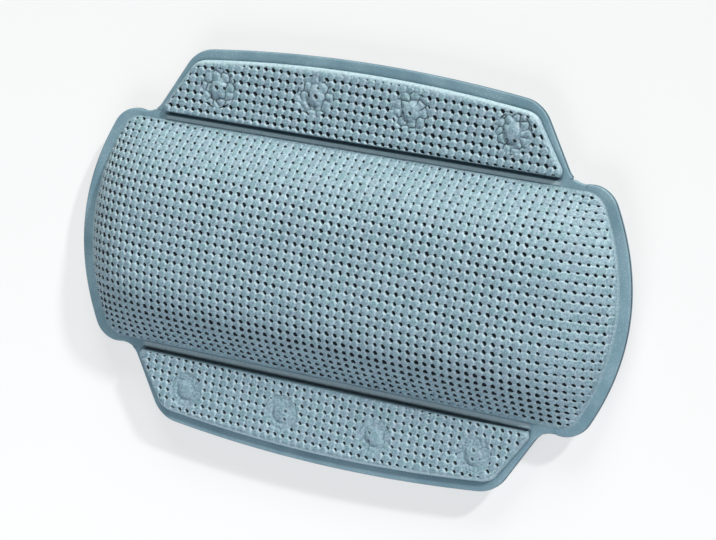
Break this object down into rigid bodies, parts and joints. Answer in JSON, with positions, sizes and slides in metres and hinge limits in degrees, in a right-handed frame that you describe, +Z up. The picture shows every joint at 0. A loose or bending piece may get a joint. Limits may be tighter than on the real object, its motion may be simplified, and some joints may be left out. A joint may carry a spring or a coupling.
{
  "type": "bath pillow",
  "caption": "Padded bath pillow: domed foam cushion in a basket-weave vinyl cover, with a folding flap on each long side held to the bath by rows of suction cups.",
  "frame": {"origin": "on the floor below the middle of the pillow, which lies on its back with the cups down", "axes": "+X along the pillow's length, +Y towards the upper flap, +Z up out of the padded front"},
  "size_m": [0.33, 0.221, 0.0379],
  "materials": {
    "foamed_sheet": "satin",
    "back_film": "satin",
    "welded_strip": "satin",
    "soft_foam": "matte",
    "cup_vinyl": "gloss"
  },
  "bodies": {
    "pillow": {"front_cover": "foamed_sheet", "pillow_core": "soft_foam", "back_cover": "back_film", "upper_fold_web": "welded_strip", "lower_fold_web": "welded_strip"},
    "upper_flap": {"upper_flap_front": "foamed_sheet", "upper_flap_back": "back_film"},
    "lower_flap": {"lower_flap_front": "foamed_sheet", "lower_flap_back": "back_film"},
    "upper_cup_1": {"upper_suction_cup_1": "cup_vinyl"},
    "upper_cup_2": {"upper_suction_cup_2": "cup_vinyl"},
    "upper_cup_3": {"upper_suction_cup_3": "cup_vinyl"},
    "upper_cup_4": {"upper_suction_cup_4": "cup_vinyl"},
    "lower_cup_1": {"lower_suction_cup_1": "cup_vinyl"},
    "lower_cup_2": {"lower_suction_cup_2": "cup_vinyl"},
    "lower_cup_3": {"lower_suction_cup_3": "cup_vinyl"},
    "lower_cup_4": {"lower_suction_cup_4": "cup_vinyl"}
  },
  "joints": [
    {"name": "upper_flap_fold", "type": "hinge", "parent": "pillow", "child": "upper_flap", "pos_m": [0, 0.0653, 0.0115], "axis": [1, 0, 0], "range_deg": [-90, 60], "stiffness_Nm_per_rad": 0.02, "deforming": ["upper_fold_web"]},
    {"name": "lower_flap_fold", "type": "hinge", "parent": "pillow", "child": "lower_flap", "pos_m": [0, -0.0653, 0.0115], "axis": [-1, 0, 0], "range_deg": [-90, 60], "stiffness_Nm_per_rad": 0.02, "deforming": ["lower_fold_web"]},
    {"name": "upper_cup_1_press", "type": "slide", "parent": "upper_flap", "child": "upper_cup_1", "axis": [0, 0, 1], "range_m": [0, 0.002], "stiffness_N_per_m": 300, "springref_m": -0.004},
    {"name": "upper_cup_2_press", "type": "slide", "parent": "upper_flap", "child": "upper_cup_2", "axis": [0, 0, 1], "range_m": [0, 0.002], "stiffness_N_per_m": 300, "springref_m": -0.004},
    {"name": "upper_cup_3_press", "type": "slide", "parent": "upper_flap", "child": "upper_cup_3", "axis": [0, 0, 1], "range_m": [0, 0.002], "stiffness_N_per_m": 300, "springref_m": -0.004},
    {"name": "upper_cup_4_press", "type": "slide", "parent": "upper_flap", "child": "upper_cup_4", "axis": [0, 0, 1], "range_m": [0, 0.002], "stiffness_N_per_m": 300, "springref_m": -0.004},
    {"name": "lower_cup_1_press", "type": "slide", "parent": "lower_flap", "child": "lower_cup_1", "axis": [0, 0, 1], "range_m": [0, 0.002], "stiffness_N_per_m": 300, "springref_m": -0.004},
    {"name": "lower_cup_2_press", "type": "slide", "parent": "lower_flap", "child": "lower_cup_2", "axis": [0, 0, 1], "range_m": [0, 0.002], "stiffness_N_per_m": 300, "springref_m": -0.004},
    {"name": "lower_cup_3_press", "type": "slide", "parent": "lower_flap", "child": "lower_cup_3", "axis": [0, 0, 1], "range_m": [0, 0.002], "stiffness_N_per_m": 300, "springref_m": -0.004},
    {"name": "lower_cup_4_press", "type": "slide", "parent": "lower_flap", "child": "lower_cup_4", "axis": [0, 0, 1], "range_m": [0, 0.002], "stiffness_N_per_m": 300, "springref_m": -0.004}
  ]
}
